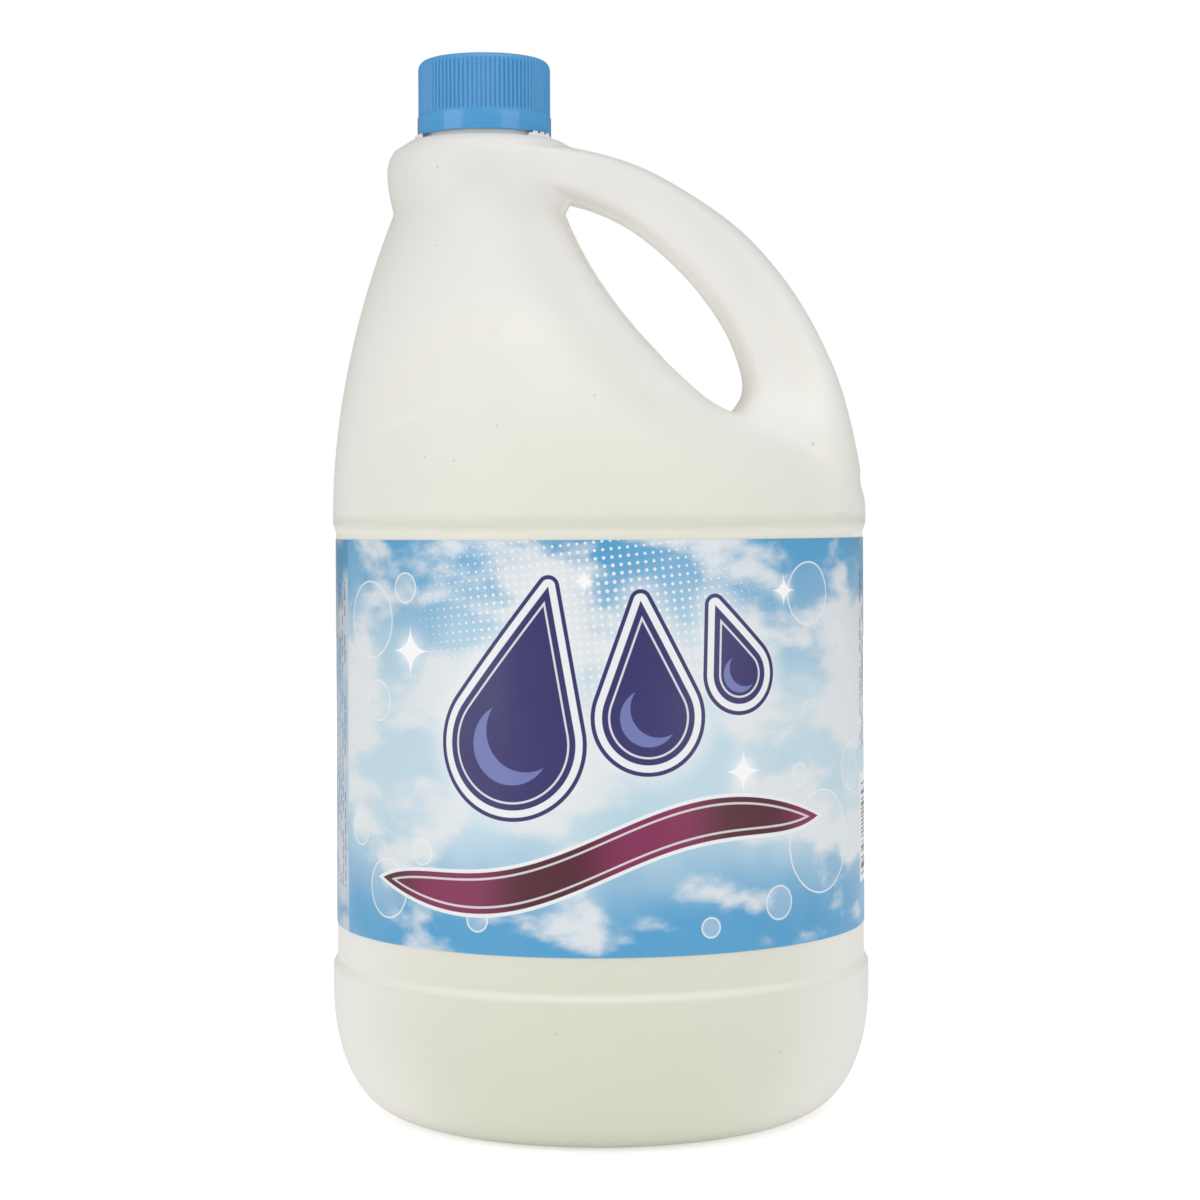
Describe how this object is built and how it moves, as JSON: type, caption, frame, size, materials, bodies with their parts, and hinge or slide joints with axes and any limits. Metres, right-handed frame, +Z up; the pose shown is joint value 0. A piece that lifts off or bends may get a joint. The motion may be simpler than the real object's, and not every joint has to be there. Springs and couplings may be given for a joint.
{
  "type": "bleach bottle",
  "caption": "Round blow moulded bleach bottle with a hollow side handle, sunk wrap label and ribbed screw cap, filled with liquid.",
  "frame": {"origin": "on the floor under the middle of the round body", "axes": "+Z up through the cap, +X towards the handle, Y across the mould's parting plane"},
  "size_m": [0.1552, 0.1552, 0.3026],
  "materials": {
    "bottle_wall": "satin translucent polyethylene",
    "cap_blue": "semi gloss polypropylene",
    "liner_foam": "matt foam",
    "label_film": "printed glossy film",
    "bleach_liquid": "clear pale yellow green liquid"
  },
  "bodies": {
    "bottle": {"bottle": "bottle_wall", "label": "label_film", "bleach": "bleach_liquid"},
    "liner": {"cap_liner": "liner_foam"},
    "cap": {"cap": "cap_blue"}
  },
  "joints": [
    {"name": "cap_rise", "type": "slide", "parent": "bottle", "child": "liner", "axis": [0, 0, 1], "range_m": [0, 0.0211]},
    {"name": "cap_turn", "type": "hinge", "parent": "liner", "child": "cap", "pos_m": [-0.033, 0, 0.29], "axis": [0, 0, 1], "range_deg": [0, 1800]}
  ],
  "couplings": [
    {"joint": "cap_rise", "follows": "cap_turn", "m_per_rad": 0.00066845}
  ]
}
